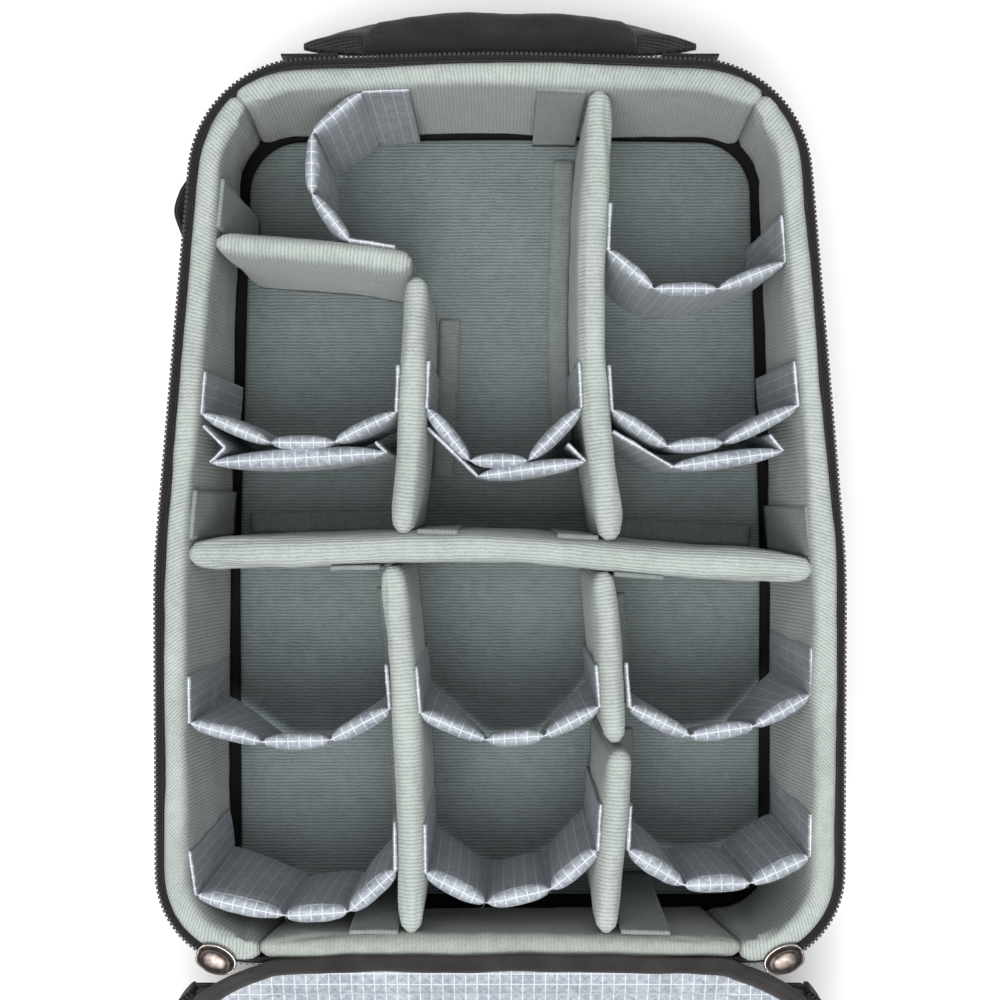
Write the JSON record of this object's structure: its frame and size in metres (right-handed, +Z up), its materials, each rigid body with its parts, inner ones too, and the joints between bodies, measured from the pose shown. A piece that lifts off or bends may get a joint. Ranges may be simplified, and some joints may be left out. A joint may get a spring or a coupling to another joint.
{
  "type": "camera bag",
  "caption": "Padded camera bag lying on its back with a zipped front panel folded open, removable padded dividers, grid-fabric lens wraps and a carrying handle.",
  "frame": {"origin": "middle of the back face, on the surface that the bag lies on", "axes": "+X across the bag, +Y towards the carrying handle, +Z up out of the open mouth"},
  "size_m": [0.3398, 0.9059, 0.1752],
  "materials": {
    "shell_fabric": "black woven polyester, matt",
    "lining_fabric": "black smooth lining, matt",
    "loop_pad": "light grey-green ribbed brushed loop fabric",
    "floor_loop": "blue-grey ribbed brushed loop fabric",
    "grid_fabric": "light blue-grey ripstop with a white grid",
    "binding": "charcoal grosgrain binding",
    "zip_tape": "black ribbed zip tape",
    "zip_teeth": "black moulded teeth, satin",
    "slider_metal": "gunmetal plating, polished edges",
    "foam": "closed-cell foam",
    "board": "stiffening sheet",
    "back_mesh": "black air mesh over foam",
    "webbing": "black woven webbing"
  },
  "bodies": {
    "bag": {"back_pad": "back_mesh", "back_board": "board", "floor_lining": "lining_fabric", "shell_skin": "shell_fabric", "floor_pad": "floor_loop", "wall_pad_left": "loop_pad", "wall_pad_top": "loop_pad", "wall_pad_right": "loop_pad", "wall_pad_bottom": "loop_pad", "body_zip_tape": "zip_tape", "body_zip_teeth": "zip_teeth", "hinge_piping": "binding", "handle_anchors": "webbing", "side_loop": "webbing"},
    "lid": {"lid_lining": "grid_fabric", "lid_foam": "foam", "lid_board": "board", "lid_cover": "shell_fabric", "lid_edge_band": "shell_fabric", "lid_binding": "binding", "lid_zip_tape": "zip_tape", "lid_zip_teeth": "zip_teeth", "lid_flange": "binding"},
    "handle": {"handle_grip": "shell_fabric", "handle_webbing": "webbing"},
    "slider_left": {"zip_slider_left": "slider_metal"},
    "slider_right": {"zip_slider_right": "slider_metal"},
    "pull_left": {"zip_pull_left": "slider_metal"},
    "pull_right": {"zip_pull_right": "slider_metal"},
    "divider_main": {"main_divider": "loop_pad", "main_divider_flaps": "loop_pad"},
    "divider_upper_left": {"upper_left_divider": "loop_pad", "upper_left_divider_leg": "loop_pad", "upper_left_flaps": "loop_pad"},
    "divider_upper_right": {"upper_right_divider": "loop_pad", "upper_right_flaps": "loop_pad"},
    "divider_lower_left": {"lower_left_divider": "loop_pad", "lower_left_flaps": "loop_pad"},
    "divider_lower_right": {"lower_right_divider": "loop_pad", "lower_right_divider_end": "loop_pad", "lower_right_flaps": "loop_pad"},
    "wrap_top_left": {"wrap_top_left": "grid_fabric"},
    "wrap_top_right": {"wrap_top_right": "grid_fabric"},
    "wrap_middle_left": {"wrap_middle_left": "grid_fabric", "wrap_back_left": "grid_fabric"},
    "wrap_middle_centre": {"wrap_middle_centre": "grid_fabric", "wrap_back_centre": "grid_fabric"},
    "wrap_middle_right": {"wrap_middle_right": "grid_fabric", "wrap_back_right": "grid_fabric"},
    "wrap_lower_left": {"wrap_lower_left": "grid_fabric"},
    "wrap_lower_centre": {"wrap_lower_centre": "grid_fabric"},
    "wrap_lower_right": {"wrap_lower_right": "grid_fabric"},
    "wrap_bottom_left": {"wrap_bottom_left": "grid_fabric"},
    "wrap_bottom_centre": {"wrap_bottom_centre": "grid_fabric"},
    "wrap_bottom_right": {"wrap_bottom_right": "grid_fabric"}
  },
  "joints": [
    {"name": "lid_hinge", "type": "hinge", "parent": "bag", "child": "lid", "pos_m": [0, -0.228, 0.17325], "axis": [1, 0, 0], "range_deg": [-200.7, 0]},
    {"name": "handle_swing", "type": "hinge", "parent": "bag", "child": "handle", "pos_m": [0, 0.2266, 0.158], "axis": [1, 0, 0], "range_deg": [-30, 80]},
    {"name": "slider_left_travel", "type": "hinge", "parent": "bag", "child": "slider_left", "pos_m": [-0.122, -0.18, 0.172], "axis": [0, 0, -1], "range_deg": [0, 56]},
    {"name": "pull_left_swing", "type": "hinge", "parent": "slider_left", "child": "pull_left", "pos_m": [-0.14125, -0.22766, 0.171], "axis": [-0.9272, 0.3746, 0], "range_deg": [0, 26]},
    {"name": "slider_right_travel", "type": "hinge", "parent": "bag", "child": "slider_right", "pos_m": [0.122, -0.18, 0.172], "axis": [0, 0, 1], "range_deg": [0, 56]},
    {"name": "pull_right_swing", "type": "hinge", "parent": "slider_right", "child": "pull_right", "pos_m": [0.14125, -0.22766, 0.171], "axis": [-0.9272, -0.3746, 0], "range_deg": [0, 26]},
    {"name": "divider_main_lift", "type": "slide", "parent": "bag", "child": "divider_main", "axis": [0, 0, 1], "range_m": [0, 0.16]},
    {"name": "divider_upper_left_lift", "type": "slide", "parent": "divider_main", "child": "divider_upper_left", "axis": [0, 0, 1], "range_m": [0, 0.16]},
    {"name": "divider_upper_right_lift", "type": "slide", "parent": "divider_upper_left", "child": "divider_upper_right", "axis": [0, 0, 1], "range_m": [0, 0.16]},
    {"name": "divider_lower_left_lift", "type": "slide", "parent": "divider_main", "child": "divider_lower_left", "axis": [0, 0, 1], "range_m": [0, 0.16]},
    {"name": "divider_lower_right_lift", "type": "slide", "parent": "divider_main", "child": "divider_lower_right", "axis": [0, 0, 1], "range_m": [0, 0.16]},
    {"name": "wrap_top_left_lift", "type": "slide", "parent": "divider_upper_left", "child": "wrap_top_left", "axis": [0, 0, 1], "range_m": [0, 0.16]},
    {"name": "wrap_middle_left_lift", "type": "slide", "parent": "divider_upper_left", "child": "wrap_middle_left", "axis": [0, 0, 1], "range_m": [0, 0.16]},
    {"name": "wrap_top_right_lift", "type": "slide", "parent": "divider_upper_right", "child": "wrap_top_right", "axis": [0, 0, 1], "range_m": [0, 0.16]},
    {"name": "wrap_middle_centre_lift", "type": "slide", "parent": "divider_upper_right", "child": "wrap_middle_centre", "axis": [0, 0, 1], "range_m": [0, 0.16]},
    {"name": "wrap_middle_right_lift", "type": "slide", "parent": "divider_upper_right", "child": "wrap_middle_right", "axis": [0, 0, 1], "range_m": [0, 0.16]},
    {"name": "wrap_lower_left_lift", "type": "slide", "parent": "divider_lower_left", "child": "wrap_lower_left", "axis": [0, 0, 1], "range_m": [0, 0.16]},
    {"name": "wrap_bottom_left_lift", "type": "slide", "parent": "divider_lower_left", "child": "wrap_bottom_left", "axis": [0, 0, 1], "range_m": [0, 0.16]},
    {"name": "wrap_lower_centre_lift", "type": "slide", "parent": "divider_lower_right", "child": "wrap_lower_centre", "axis": [0, 0, 1], "range_m": [0, 0.16]},
    {"name": "wrap_lower_right_lift", "type": "slide", "parent": "divider_lower_right", "child": "wrap_lower_right", "axis": [0, 0, 1], "range_m": [0, 0.16]},
    {"name": "wrap_bottom_centre_lift", "type": "slide", "parent": "divider_lower_right", "child": "wrap_bottom_centre", "axis": [0, 0, 1], "range_m": [0, 0.16]},
    {"name": "wrap_bottom_right_lift", "type": "slide", "parent": "divider_lower_right", "child": "wrap_bottom_right", "axis": [0, 0, 1], "range_m": [0, 0.16]}
  ]
}
